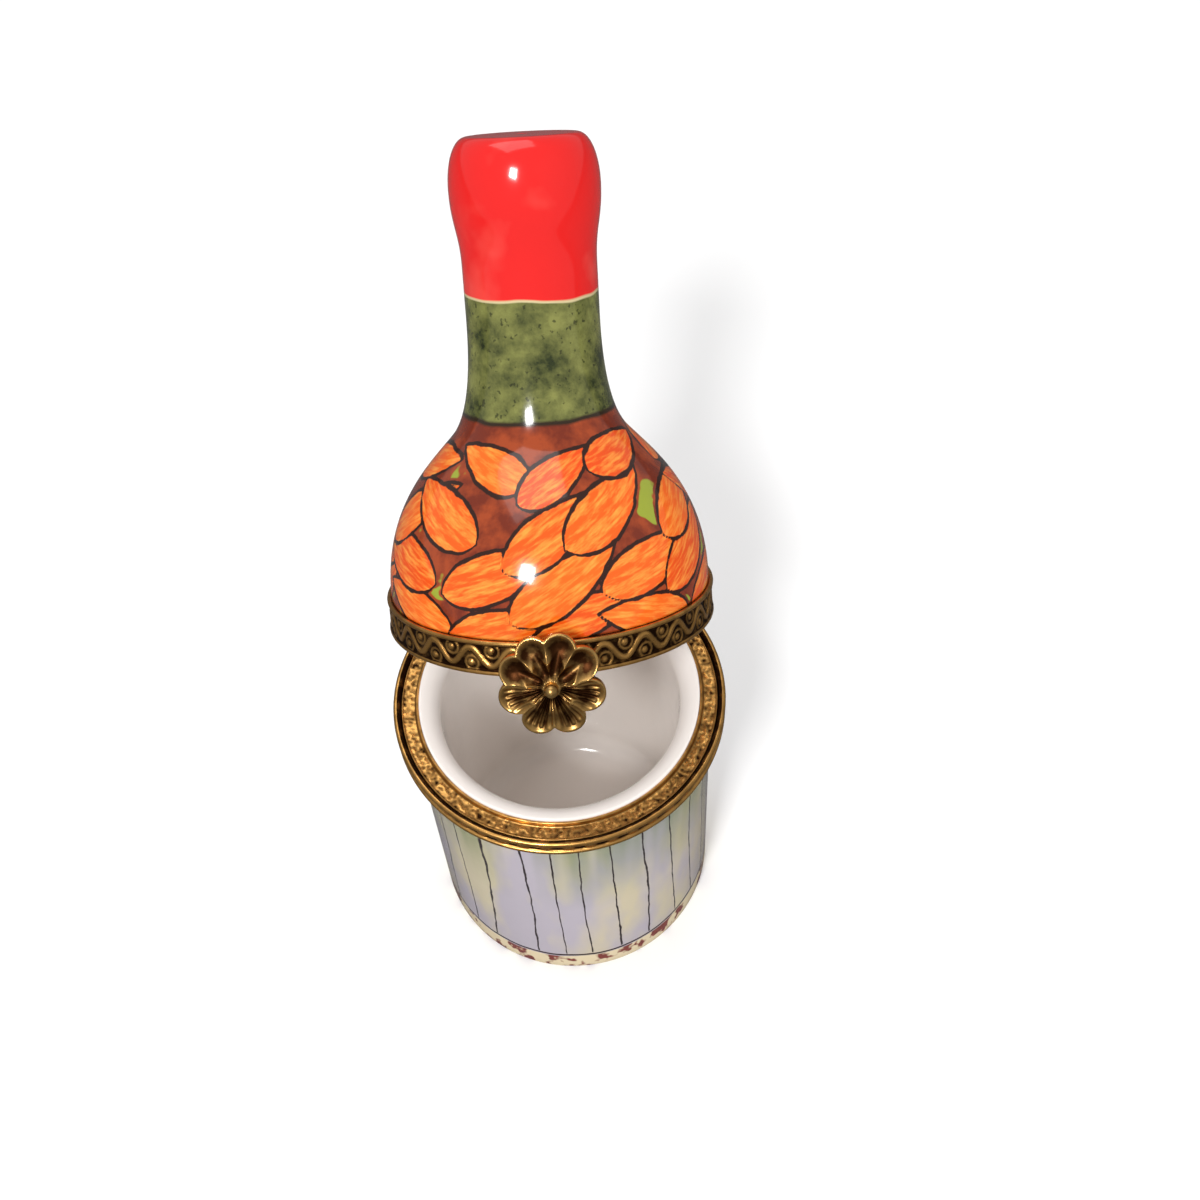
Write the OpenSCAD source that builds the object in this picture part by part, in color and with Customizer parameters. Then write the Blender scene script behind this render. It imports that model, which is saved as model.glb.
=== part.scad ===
// Hinged porcelain trinket box in the shape of a wine bottle with a dipped cap.
// The bottle parts at a pair of brass rims: a cup below, a hollow lid above, hinged at the back
// and held at the front by a flower clasp. The lid is drawn open, as it stands in use.
// Millimetres. Z is up, X runs across, the clasp faces -Y. The origin is the middle of the foot.

/* [Cup] */
// Height of the base, from the foot to the crest of the rim's bead
base_h = 43.6; // [30:0.1:60]
// Outside diameter of the cup just below its rim
cup_d = 37.4; // [32:0.1:46]
// How much wider the foot is than the top of the cup
cup_flare = 0.6; // [0:0.1:2]
// Wall of the cup
cup_wall = 3.8; // [3.0:0.1:6]
// Thickness of the cup's floor
cup_floor = 4; // [2:0.1:8]
// Radius of the curve between wall and floor, inside
floor_round = 3.3; // [1:0.1:6]
// Radius of the foot's outer edge
foot_round = 0.8; // [0.3:0.1:2]

/* [Rim of the base] */
// Width of the step outside the lip that carries the metal rim
rim_step = 1.4; // [1.0:0.1:1.8]
// How far the metal rim stands out past the cup
rim_overhang = 1.8; // [1.4:0.1:3]
// Height of the decorated band round the base
base_band_h = 2.45; // [2:0.05:5]
// Diameter of the bead along the top of that band
base_bead_d = 0.76; // [0.5:0.02:1]
// Diameter of the bead along its lower edge
base_edge_d = 0.56; // [0.4:0.02:0.8]
// How far the seat lies below the crest of the bead
seat_drop = 0.5; // [0.3:0.05:0.8]
// Width of the smooth raised edge round the seat's inside
seat_edge_w = 0.37; // [0.25:0.01:0.5]
// Height of the porcelain lip above the crest of the bead
lip_rise = 0.25; // [0:0.05:0.6]

/* [Lid] */
// Wall of the lid
lid_wall = 3; // [2:0.1:4]
// Height of the lid's porcelain above its band
lid_h = 49.8; // [46:0.1:60]
// Height above the band where the shoulder turns in most steeply
shoulder_h = 17.8; // [14:0.1:22]
// Diameter of the lid at that height
shoulder_d = 20; // [17:0.1:24]
// Slope of the shoulder there, away from upright
shoulder_slope = 42; // [30:1:55]
// How long the lid's side stays upright before the shoulder bends in
shoulder_swell = 10; // [6:0.1:14]
// Diameter of the neck
neck_d = 14.6; // [12:0.1:16]
// Height above the band where the neck becomes straight
neck_h = 31; // [27:0.1:34]
// Diameter of the dipped cap at its widest
cap_d = 16.2; // [15:0.1:19]
// Height above the band where the cap starts to swell
cap_foot_h = 36.5; // [35:0.1:39]
// Height above the band where the cap is widest
cap_wide_h = 44.5; // [42:0.1:45.5]
// Diameter of the flat on top of the cap
cap_flat_d = 11.6; // [8:0.1:13]
// Height above the band where the hollow in the neck ends
hollow_h = 41; // [36:0.1:45]

/* [Rim of the lid] */
// Height of the decorated band round the lid
lid_band_h = 3.95; // [3:0.05:6]
// Diameter of the beads along both edges of that band
lid_bead_d = 0.56; // [0.4:0.02:0.7]
// How far the band stands out past the porcelain above it
lid_band_proud = 0.53; // [0.4:0.01:0.8]
// Thickness of the metal leg that stands round the lip
leg_t = 0.35; // [0.25:0.01:0.5]
// Width of the ring that carries the lid's porcelain
flange_w = 2.4; // [1.5:0.1:2.6]
// Thickness of that ring, and of the seat on the base
sheet_t = 0.55; // [0.4:0.01:0.8]

/* [Hinge] */
// How far the lid stands open
lid_open = 35; // [0:1:90]
// Outside diameter of the knuckles
knuckle_d = 2; // [1.8:0.1:3]
// Width of one knuckle
knuckle_w = 1.7; // [1.2:0.1:3]
// Gap between neighbouring knuckles
knuckle_gap = 0.12; // [0.08:0.01:0.3]
// Diameter of the hinge pin
pin_d = 0.9; // [0.7:0.05:1.2]
// Diameter of the pin's peened ends
pin_head_d = 1.4; // [1.3:0.05:1.8]
// Thickness of the leaves
leaf_t = 0.35; // [0.25:0.01:0.5]
// Height of the hinge's axis above the crest of the bead
hinge_rise = 0.1; // [0:0.05:0.3]

/* [Clasp] */
// Width of the spring tongue
tongue_w = 3.6; // [2.5:0.1:5]
// Thickness of the spring tongue
tongue_t = 0.4; // [0.3:0.01:0.6]
// Length of the nib that catches under the band
nib_h = 0.45; // [0.3:0.05:0.8]
// Diameter of the flower across its petals
flower_d = 11.6; // [9:0.1:14]
// Thickness of the flower in its middle
flower_t = 1.8; // [1.5:0.1:2.5]
// Thickness left at the bottom of a petal's hollow
petal_web_t = 0.3; // [0.2:0.05:0.5]
// Width of one petal
petal_w = 3.7; // [3:0.1:4.4]
// How far the flower's middle lies right of the front
flower_x = 0.45; // [0:0.05:1]
// Diameter of the round rivet head in the middle of the flower
rivet_head_d = 1.5; // [1.2:0.1:2]
// Diameter of the rivet's shank
rivet_d = 0.8; // [0.6:0.1:1]

/* [Hidden] */
$fn = 96;

// Gaps
joint_gap = 0.05;    // between pieces that are cemented or soldered together
seat_gap = 0.1;      // under the lid's band when the lid is shut
leg_gap = 0.22;      // between the lid's leg and the raised edge of the seat
pin_gap = 0.05;      // round the hinge pin
barrel_gap = 0.1;    // between the knuckles and the leaf of the other rim
leaf_gap = 0.1;      // between the top of the base's leaf and the crest of the bead beside it
flange_gap = 0.15;   // between the lip and the ring above it when the lid is shut
catch_gap = 0.15;    // between the spring tongue and the band that it passes
step_gap = 0.35;     // between the tongue's step and the bead that it passes over

// Radii of the base, from the inside out
cup_r = cup_d / 2;
foot_r = cup_r + cup_flare / 2;
bore_r = cup_r - cup_wall;
lip_r = cup_r - rim_step;
seat_in_r = lip_r + joint_gap;
seat_edge_r = seat_in_r + seat_edge_w;
rim_r = cup_r + rim_overhang;
base_bead_r = rim_r - base_bead_d / 2;
base_wall_t = 0.5;
base_wall_in = 0.07;   // how far the band's face lies inside the middle of its bead
base_wall_r = base_bead_r - base_wall_in;
seat_out_r = base_wall_r - base_wall_t - joint_gap;

// Heights of the base
lip_z = base_h + lip_rise;
seat_z = base_h - seat_drop;
step_z = seat_z - sheet_t - joint_gap;
base_band_z = base_h - base_band_h;

// Radii of the lid, from the inside out
leg_in_r = seat_edge_r + leg_gap;
leg_out_r = leg_in_r + leg_t;
lid_wall_in_r = leg_out_r + joint_gap;
shell_lap = 0.08;      // how far the porcelain lies over the top of the band
lid_r = lid_wall_in_r + shell_lap;
lid_band_r = lid_r + lid_band_proud;
lid_bead_r = lid_band_r - lid_bead_d / 2;
lid_mouth_r = lid_r - lid_wall;

// Heights of the lid when it is shut
lid_z = seat_z + seat_gap;
flange_z = lip_z + flange_gap;
porcelain_z = flange_z + sheet_t + joint_gap;
shell_z = lid_z + lid_band_h;

// Hinge
knuckle_r = knuckle_d / 2;
hinge_y = rim_r + joint_gap + leaf_t + barrel_gap + knuckle_r;
hinge_z = base_h + hinge_rise;
knuckle_pitch = knuckle_w + knuckle_gap;
knuckle_count = 5;
hinge_w = knuckle_count * knuckle_pitch - knuckle_gap;

// Clasp, with the lid shut
nib_reach = 0.25;      // how far the nib stands in from the tongue
tongue_in_y = rim_r + catch_gap + nib_reach;
tongue_out_y = tongue_in_y + tongue_t;
flower_z = base_h;
flower_r = flower_d / 2;
rivet_seat_drop = 0.3; // how deep the rivet's seat is sunk in the flower
rivet_foot_d = 1.5 * rivet_d;

// Points on a cubic curve from a to d, with b and c as its handles
function curve(a, b, c, d, n = 16) =
    [for (i = [0 : n]) let (t = i / n, u = 1 - t)
        u*u*u*a + 3*u*u*t*b + 3*u*t*t*c + t*t*t*d];

// Points on a circular arc round c, from angle a0 to a1
function arc(c, r, a0, a1, n = 10) =
    [for (i = [0 : n]) let (a = a0 + (a1 - a0) * i / n) c + r * [cos(a), sin(a)]];

// Outline of one side of the lid, from its band up to the neck. inset moves it in by a wall.
// The straight runs say how long the line keeps its direction at the turn and below the neck.
function shoulder_line(inset = 0) =
    let (run_below = 4.4, run_above = 3.5, run_neck = 4.4,
         foot = [lid_r - inset, 0],
         lean = [-sin(shoulder_slope), cos(shoulder_slope)],
         inward = [-cos(shoulder_slope), -sin(shoulder_slope)],
         turn = [shoulder_d / 2, shoulder_h] + inset * inward,
         neck = [neck_d / 2 - inset, neck_h])
    concat(curve(foot, foot + [0, shoulder_swell], turn - run_below * lean, turn, 22),
           curve(turn, turn + run_above * lean, neck - [0, run_neck], neck, 16));

// Outline of the dipped cap, from its foot on the neck to the flat on top.
// The shares say how much of each span the line keeps its direction at the span's ends.
function cap_line() =
    let (side_share = 0.45, crown_share = 0.55, top_share = 0.6,
         foot = [neck_d / 2, cap_foot_h],
         wide = [cap_d / 2, cap_wide_h],
         top = [cap_flat_d / 2, lid_h],
         side_run = [0, (cap_wide_h - cap_foot_h) * side_share],
         crown_run = [0, (lid_h - cap_wide_h) * crown_share],
         top_run = [(cap_d - cap_flat_d) / 2 * top_share, 0])
    concat(curve(foot, foot + side_run, wide - side_run, wide, 14),
           curve(wide, wide + crown_run, top + top_run, top, 14));

// Puts what is drawn with the lid shut where it is with the lid open
module on_lid() {
    translate([0, hinge_y, hinge_z])
        rotate([-lid_open, 0, 0])
            translate([0, -hinge_y, -hinge_z])
                children();
}

// Cup with a rounded foot, a straight bore and a rolled lip that stands up inside the rim
module base_cup() {
    roll = cup_wall - rim_step;
    color("lavender")
        rotate_extrude()
            polygon(concat(
                [[0, 0]],
                arc([foot_r - foot_round, foot_round], foot_round, -90, 0),
                [[cup_r, base_band_z], [cup_r, step_z], [lip_r, step_z]],
                arc([lip_r, lip_z - roll], roll, 90, 180),
                arc([bore_r - floor_round, cup_floor + floor_round], floor_round, 0, -90),
                [[0, cup_floor]]));
}

// Ring that covers the cup's edge: a shallow seat for the lid, with a smooth raised inner edge
module base_seat_ring() {
    edge_r = seat_edge_w / 2;
    color("goldenrod")
        rotate_extrude() {
            translate([seat_in_r, seat_z - sheet_t])
                square([seat_out_r - seat_in_r, sheet_t]);
            translate([seat_in_r, seat_z - sheet_t])
                square([seat_edge_w, base_h - edge_r - seat_z + sheet_t]);
            translate([seat_in_r + edge_r, base_h - edge_r])
                circle(edge_r);
        }
}

// Band soldered round the seat ring, turned in below to meet the cup, with a bead on each edge
module base_gallery_band() {
    in_r = base_wall_r - base_wall_t;
    edge_r = base_edge_d / 2;
    color("darkgoldenrod")
        rotate_extrude() {
            translate([in_r, base_band_z])
                square([base_wall_t, base_band_h - base_bead_d / 2]);
            translate([cup_r + joint_gap, base_band_z])
                square([in_r - cup_r, sheet_t]);
            translate([base_bead_r, base_h - base_bead_d / 2])
                circle(base_bead_d / 2);
            translate([rim_r - edge_r, base_band_z + edge_r])
                circle(edge_r);
        }
}

// One knuckle of the hinge, centred on x, before its bore is cut
module knuckle(x) {
    translate([x - knuckle_w / 2, hinge_y, hinge_z])
        rotate([0, 90, 0])
            cylinder(h = knuckle_w, d = knuckle_d);
}

module pin_bore() {
    translate([-hinge_w, hinge_y, hinge_z])
        rotate([0, 90, 0])
            cylinder(h = 2 * hinge_w, d = pin_d + 2 * pin_gap);
}

// Plate with rounded corners, as wide as the hinge, bent round a rim of radius r
module curved_plate(r, z0, z1) {
    corner = 0.5;
    intersection() {
        cylinder(h = 2 * base_h, r = r + leaf_t);
        translate([0, 0, z0])
            rotate([90, 0, 180])
                linear_extrude(2 * rim_r)
                    union() {
                        translate([-hinge_w / 2, corner])
                            square([hinge_w, z1 - z0 - 2 * corner]);
                        translate([-hinge_w / 2 + corner, 0])
                            square([hinge_w - 2 * corner, z1 - z0]);
                        for (x = [-1, 1], z = [corner, z1 - z0 - corner])
                            translate([x * (hinge_w / 2 - corner), z])
                                circle(corner);
                    }
    }
}

// X of knuckle number i, counted from the left
function knuckle_x(i) = (i - (knuckle_count - 1) / 2) * knuckle_pitch;

// One leaf of the hinge, soldered to a rim of radius r: a curved plate from z0 to z1, and
// knuckles number first, first + 2 and so on, each on a web from height web_z
module hinge_leaf(r, z0, z1, first, web_z) {
    web_h = knuckle_r - pin_d / 2 - pin_gap;
    difference() {
        union() {
            curved_plate(r, z0, z1);
            for (i = [first : 2 : knuckle_count - 1 - first]) {
                knuckle(knuckle_x(i));
                translate([knuckle_x(i) - knuckle_w / 2, 0, web_z])
                    cube([knuckle_w, hinge_y, web_h]);
            }
        }
        translate([0, 0, -1])
            cylinder(h = 2 * base_h + 2, r = r);
        pin_bore();
    }
}

// Leaf on the base with the first, middle and last knuckles, rolled round the pin from below
module base_hinge_leaf() {
    color("goldenrod")
        hinge_leaf(rim_r + joint_gap, base_band_z, base_h - leaf_gap, 0, hinge_z - knuckle_r);
}

// Leaf on the lid with the two knuckles between, rolled round the pin from above
module lid_hinge_leaf() {
    web_z = hinge_z + pin_d / 2 + pin_gap;
    color("goldenrod")
        on_lid()
            hinge_leaf(lid_band_r + joint_gap, web_z, shell_z - lid_bead_d / 2, 1, web_z);
}

// Pin through all knuckles, with its ends peened over
module hinge_pin() {
    head_t = 0.3;
    color("darkgoldenrod")
        translate([0, hinge_y, hinge_z])
            rotate([0, 90, 0]) {
                cylinder(h = hinge_w + 2 * joint_gap, d = pin_d, center = true);
                for (side = [-1, 1])
                    translate([0, 0, side * (hinge_w / 2 + joint_gap + head_t / 2)])
                        cylinder(h = head_t, d = pin_head_d, center = true);
            }
}

// Hollow porcelain lid: shoulder, neck and dipped cap in one piece
module lid_shell() {
    bore = neck_d / 2 - lid_wall;
    foot = porcelain_z - shell_z;
    foot_r = lid_wall_in_r - joint_gap;
    color("orangered")
        on_lid()
            translate([0, 0, shell_z])
                rotate_extrude()
                    difference() {
                        polygon(concat(
                            [[0, foot], [foot_r, foot], [foot_r, joint_gap], [lid_r, joint_gap]],
                            [for (p = shoulder_line()) if (p[1] > joint_gap) p],
                            cap_line(),
                            [[0, lid_h]]));
                        polygon(concat(
                            [[0, foot - 1], [lid_mouth_r, foot - 1]],
                            shoulder_line(lid_wall),
                            arc([0, hollow_h - bore], bore, 0, 90, 8)));
                    }
}

// Ring inside the lid's band: a flange under the porcelain and a leg that stands round the lip
module lid_seat_ring() {
    color("goldenrod")
        on_lid()
            rotate_extrude() {
                translate([leg_in_r, lid_z])
                    square([leg_t, porcelain_z - joint_gap - lid_z]);
                translate([leg_out_r - flange_w, flange_z])
                    square([flange_w, sheet_t]);
            }
}

// Band round the lid's foot with a bead on each edge
module lid_gallery_band() {
    edge_r = lid_bead_d / 2;
    color("darkgoldenrod")
        on_lid()
            rotate_extrude() {
                translate([lid_wall_in_r, lid_z])
                    square([lid_bead_r - lid_wall_in_r, lid_band_h]);
                for (z = [lid_z + edge_r, shell_z - edge_r])
                    translate([lid_bead_r, z])
                        circle(edge_r);
            }
}

// Spring tongue: soldered to the lid's band, stepped out over the bead and down past the band
// of the base, with a nib at its end that catches under the band's lower edge
module clasp_tongue() {
    top_in = lid_band_r + joint_gap;
    top_out = top_in + tongue_t;
    step_lo = max(base_h + step_gap, flower_z + rivet_foot_d / 2 + joint_gap);
    step_hi = step_lo + tongue_t;
    end_z = base_band_z - catch_gap - nib_h;
    side = [[top_in, shell_z - lid_bead_d / 2], [top_in, step_lo], [tongue_in_y, step_lo],
            [tongue_in_y, end_z + nib_h], [tongue_in_y - nib_reach, end_z + nib_h / 2],
            [tongue_in_y, end_z], [tongue_out_y, end_z], [tongue_out_y, step_hi],
            [top_out, step_hi], [top_out, shell_z - lid_bead_d / 2]];
    color("darkgoldenrod")
        on_lid()
            difference() {
                translate([flower_x - tongue_w / 2, 0, 0])
                    rotate([90, 0, 90])
                        linear_extrude(tongue_w)
                            polygon([for (p = side) [-p[0], p[1]]]);
                flower_axis()
                    cylinder(h = 4 * tongue_t, d = rivet_d + 2 * joint_gap, center = true);
            }
}

// Places what is drawn flat on the tongue's face, with Z pointing out of the face
module flower_axis() {
    translate([flower_x, -tongue_out_y, flower_z])
        rotate([90, 0, 0])
            children();
}

// Directions of the eight petals, in degrees from +X, as uneven as hand-cast petals are
petal_turns = [36, 76, 116, 154, 197, 248, 293, 343];

// One petal before it is scooped, pointing along +X: a round end on a tapering root
module petal() {
    tip = flower_r - petal_w / 2;
    root_w = 1.2;
    tuck = 0.16; // keeps the corners of the root inside the round end
    shoulder_w = petal_w - tuck;
    translate([tip, 0, 0])
        cylinder(h = flower_t, r = petal_w / 2);
    linear_extrude(flower_t)
        polygon([[0, -root_w / 2], [tip, -shoulder_w / 2], [tip, shoulder_w / 2], [0, root_w / 2]]);
}

// Hollow of one petal: a round bowl that leaves a rim along the petal's end
module petal_scoop() {
    petal_rim = 0.4;
    bowl_r = petal_w / 2 - petal_rim;
    translate([flower_r - petal_w / 2, 0, petal_web_t + bowl_r])
        sphere(bowl_r);
}

// Flower of eight scooped petals, gently domed, with a flat seat for the rivet in its middle
module clasp_flower() {
    dome_r = 16;
    seat_margin = 0.25; // width of the flat left round the rivet's head
    color("gold")
        on_lid()
            flower_axis()
                translate([0, 0, joint_gap])
                    difference() {
                        intersection() {
                            union() {
                                for (turn = petal_turns)
                                    rotate(turn)
                                        petal();
                            }
                            translate([0, 0, flower_t - dome_r])
                                sphere(dome_r);
                        }
                        for (turn = petal_turns)
                            rotate(turn)
                                petal_scoop();
                        translate([0, 0, flower_t - rivet_seat_drop])
                            cylinder(h = 1, r = rivet_head_d / 2 + seat_margin);
                        translate([0, 0, -1])
                            cylinder(h = flower_t + 2, d = rivet_d + 2 * joint_gap);
                    }
}

// Rivet that holds the flower to the tongue: a ball head in front, a peened end behind
module flower_rivet() {
    seat = joint_gap + flower_t - rivet_seat_drop + joint_gap;
    head_r = rivet_head_d / 2;
    ball_z = seat + head_r * 0.7; // the ball is cut flat where it rests on its seat
    back_t = 0.2;
    color("gold")
        on_lid()
            flower_axis() {
                translate([0, 0, -tongue_t - joint_gap])
                    cylinder(h = tongue_t + joint_gap + ball_z, d = rivet_d);
                translate([0, 0, -tongue_t - joint_gap - back_t])
                    cylinder(h = back_t, d = rivet_foot_d);
                difference() {
                    translate([0, 0, ball_z])
                        sphere(head_r);
                    translate([0, 0, seat - rivet_head_d])
                        cylinder(h = rivet_head_d, d = 2 * rivet_head_d);
                }
            }
}

base_cup();
base_seat_ring();
base_gallery_band();
base_hinge_leaf();
hinge_pin();
lid_shell();
lid_seat_ring();
lid_gallery_band();
lid_hinge_leaf();
clasp_tongue();
clasp_flower();
flower_rivet();
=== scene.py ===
"""Looks of a hinged porcelain trinket box in the shape of a wine bottle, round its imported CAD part.

The lathed porcelain, the brass bands with their relief and the cast flower are built here as
meshes that stand for the plain CAD solids. The hinge, its pin, the lid's inner ring, the tongue and
the rivet are the CAD solids themselves.

Sizes are in millimetres unless a comment says otherwise, +Z up, the clasp facing -Y. Pieces of the
lid are drawn shut and turned open.
"""

import logging
import math
from dataclasses import dataclass, field
from enum import Enum
from typing import Any, Callable, Sequence

import bpy
import numpy as np
from mathutils import Matrix, Vector


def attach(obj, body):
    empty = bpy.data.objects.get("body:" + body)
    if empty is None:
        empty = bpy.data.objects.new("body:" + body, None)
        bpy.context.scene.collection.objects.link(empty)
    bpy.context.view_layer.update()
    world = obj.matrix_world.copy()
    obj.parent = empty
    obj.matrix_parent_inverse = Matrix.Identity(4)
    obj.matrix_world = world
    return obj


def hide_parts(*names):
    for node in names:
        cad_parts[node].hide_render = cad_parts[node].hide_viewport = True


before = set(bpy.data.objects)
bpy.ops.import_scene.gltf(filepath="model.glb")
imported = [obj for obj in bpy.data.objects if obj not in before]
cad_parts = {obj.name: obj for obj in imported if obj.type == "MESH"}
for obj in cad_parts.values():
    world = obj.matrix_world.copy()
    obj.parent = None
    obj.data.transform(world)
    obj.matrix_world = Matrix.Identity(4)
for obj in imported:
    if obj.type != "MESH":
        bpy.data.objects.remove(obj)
log = logging.getLogger("trinket_box")

Colour = tuple[float, float, float, float]
Profile = list[tuple[float, float]]
Span = tuple[float, float]
Value = Any             # what a node's input takes: an output socket, a number or a colour

MM = 0.001              # metres
FULL_TURN = 2 * math.pi
SEED = 7
WRAP = "wrap"           # name of the lathe's own map
AXIS_R = 0.001          # where a profile stops short of the axis

HINGE_Y, HINGE_Z = 22.0, 43.7
LID_OPEN = math.radians(35)
BASE_H = 43.6           # top of the bead on the base
BASE_BAND_Z = 41.15     # lower edge of the base's band
LID_Z = 43.2            # lower edge of the lid's band
SHELL_Z = 47.15         # top of the lid's band, where the lid's porcelain comes out of it


class Body(Enum):
    """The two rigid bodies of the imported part."""

    BASE = "base"
    LID = "lid"


class Slot(Enum):
    """Material slots of the record."""

    CUP = "cup_glaze"
    LID = "lid_glaze"
    ANTIQUE = "antique_brass"
    BRIGHT = "bright_brass"


class Paint(Enum):
    """Colours of the glaze and the brass, as display values from 0 to 255."""

    CUP_WHITE = (250, 243, 237)
    LAVENDER = (186, 178, 188)
    CREAM = (208, 196, 168)
    GREEN_WASH = (104, 122, 70)
    CUP_LINE = (34, 20, 24)
    FOOT_RING = (52, 34, 36)
    FOOT_CREAM = (232, 214, 178)
    FOOT_MAROON = (128, 58, 52)
    LID_WHITE = (240, 229, 226)
    RUST_DARK = (112, 40, 20)
    RUST_LIGHT = (158, 66, 30)
    ORANGE_DEEP = (226, 74, 14)
    ORANGE_WARM = (240, 104, 22)
    ORANGE_PALE = (248, 156, 62)
    LEAF_LINE = (46, 22, 14)
    SPRIG = (150, 160, 52)
    NECK_LINE = (44, 30, 16)
    NECK_DARK = (40, 48, 20)
    NECK_PALE = (130, 132, 70)
    NECK_SPECK = (30, 34, 14)
    CAP_EDGE = (206, 190, 144)
    CAP_RED = (222, 30, 28)
    CAP_PALE = (240, 96, 84)
    ANTIQUE_DARK = (52, 30, 16)
    ANTIQUE_LIGHT = (236, 178, 100)
    BRIGHT_DARK = (150, 106, 54)
    BRIGHT_LIGHT = (232, 190, 120)
    FLOWER_DARK = (70, 40, 20)
    FLOWER_LIGHT = (246, 194, 116)

    @property
    def rgba(self) -> Colour:
        """The colour in linear values."""
        return linear(*self.value)


def linear(r: int, g: int, b: int) -> Colour:
    """Turns a display colour into a linear one.

    Args:
        r, g, b: Display values from 0 to 255.

    Returns:
        The linear colour with alpha 1.
    """

    def one(value: float) -> float:
        value /= 255
        return value / 12.92 if value <= 0.04045 else ((value + 0.055) / 1.055) ** 2.4

    return (one(r), one(g), one(b), 1.0)


class Graph:
    """Small helper that builds one material's node tree."""

    MIX_A, MIX_B, MIX_RESULT = 6, 7, 2  # colour sockets of a mix node, whose names aren't unique

    def __init__(self, name: str) -> None:
        self.material = bpy.data.materials.new(name)
        self.material.use_nodes = True
        self.tree = self.material.node_tree
        self.shader = self.tree.nodes["Principled BSDF"]
        self.coords = self.tree.nodes.new("ShaderNodeTexCoord")

    def link(self, source: Value, target: bpy.types.NodeSocket) -> None:
        """Links an output socket to an input, or sets the input to a plain value."""
        if isinstance(source, bpy.types.NodeSocket):
            self.tree.links.new(source, target)
        else:
            target.default_value = source

    def math(
        self, op: str, a: Value, b: Value = 0.0, c: Value = 0.0, clamp: bool = False
    ) -> Value:
        """Adds a math node and returns its output."""
        node = self.tree.nodes.new("ShaderNodeMath")
        node.operation = op
        node.use_clamp = clamp
        for source, target in zip((a, b, c), node.inputs):
            self.link(source, target)
        return node.outputs[0]

    def mix(self, factor: Value, a: Value, b: Value) -> Value:
        """Returns colour a where factor is 0, colour b where it is 1, and mixes between."""
        node = self.tree.nodes.new("ShaderNodeMix")
        node.data_type = "RGBA"
        self.link(factor, node.inputs["Factor"])
        self.link(a, node.inputs[self.MIX_A])
        self.link(b, node.inputs[self.MIX_B])
        return node.outputs[self.MIX_RESULT]

    def vector(self, x: Value, y: Value, z: Value) -> Value:
        """Joins three numbers into a vector."""
        node = self.tree.nodes.new("ShaderNodeCombineXYZ")
        for source, target in zip((x, y, z), node.inputs):
            self.link(source, target)
        return node.outputs[0]

    def noise(
        self,
        scale: float,
        detail: float,
        stretch: Sequence[float] = (1, 1, 1),
        rough: float = 0.55,
        vector: Value = None,
    ) -> Value:
        """Adds a noise texture.

        Args:
            scale: Waves per metre, or per unit of the vector.
            detail: Number of finer layers.
            stretch: Factors on the coordinates; a small one draws the noise out along its axis.
            rough: Strength of the finer layers.
            vector: Where the noise is read, object space if left out.

        Returns:
            Noise between 0 and 1, round a half.
        """
        mapping = self.tree.nodes.new("ShaderNodeMapping")
        mapping.inputs["Scale"].default_value = stretch
        self.link(vector or self.coords.outputs["Object"], mapping.inputs["Vector"])
        node = self.tree.nodes.new("ShaderNodeTexNoise")
        node.inputs["Scale"].default_value = scale
        node.inputs["Detail"].default_value = detail
        node.inputs["Roughness"].default_value = rough
        self.link(mapping.outputs[0], node.inputs["Vector"])
        return node.outputs["Fac"]

    def swing(self, value: Value, amount: float) -> Value:
        """Turns a value round a half into one round zero, amount times as wide."""
        return self.math("MULTIPLY", self.math("SUBTRACT", value, 0.5), amount)

    def wrap(self) -> tuple[Value, Value]:
        """The lathe's own map: turns round the axis, and millimetres along it."""
        node = self.tree.nodes.new("ShaderNodeUVMap")
        node.uv_map = WRAP
        split = self.tree.nodes.new("ShaderNodeSeparateXYZ")
        self.link(node.outputs[0], split.inputs[0])
        return split.outputs[0], split.outputs[1]

    def attribute(self, name: str) -> Value:
        """A number stored on the mesh's points."""
        node = self.tree.nodes.new("ShaderNodeAttribute")
        node.attribute_name = name
        return node.outputs["Fac"]

    def step(self, value: Value, low: float, high: float) -> Value:
        """0 below low, 1 above high, straight between them."""
        node = self.tree.nodes.new("ShaderNodeMapRange")
        self.link(value, node.inputs["Value"])
        node.inputs["From Min"].default_value = low
        node.inputs["From Max"].default_value = high
        return node.outputs["Result"]

    def bump(self, height: Value, strength: float, distance: float) -> None:
        """Links a height to the shader's normal, distance in metres."""
        node = self.tree.nodes.new("ShaderNodeBump")
        node.inputs["Strength"].default_value = strength
        node.inputs["Distance"].default_value = distance
        self.link(height, node.inputs["Height"])
        self.link(node.outputs[0], self.shader.inputs["Normal"])


@dataclass(frozen=True)
class Porcelain:
    """Glossy glaze, painted by hand where it isn't bare."""

    roughness: float = 0.13
    coat: float = 0.35

    def finish(self, g: Graph, painted: Value, bare: Paint) -> bpy.types.Material:
        """Sets the glaze's colour and shine.

        Args:
            g: Graph of the painted colour.
            painted: The painted colour.
            bare: Colour of the porcelain where the mesh's "bare" is 1.

        Returns:
            The material.
        """
        colour = g.mix(g.attribute("bare"), painted, bare.rgba)
        g.link(colour, g.shader.inputs["Base Color"])
        g.shader.inputs["Roughness"].default_value = self.roughness
        g.shader.inputs["Coat Weight"].default_value = self.coat
        g.bump(g.noise(260, 2), 0.12, 0.0002)
        return g.material


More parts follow.
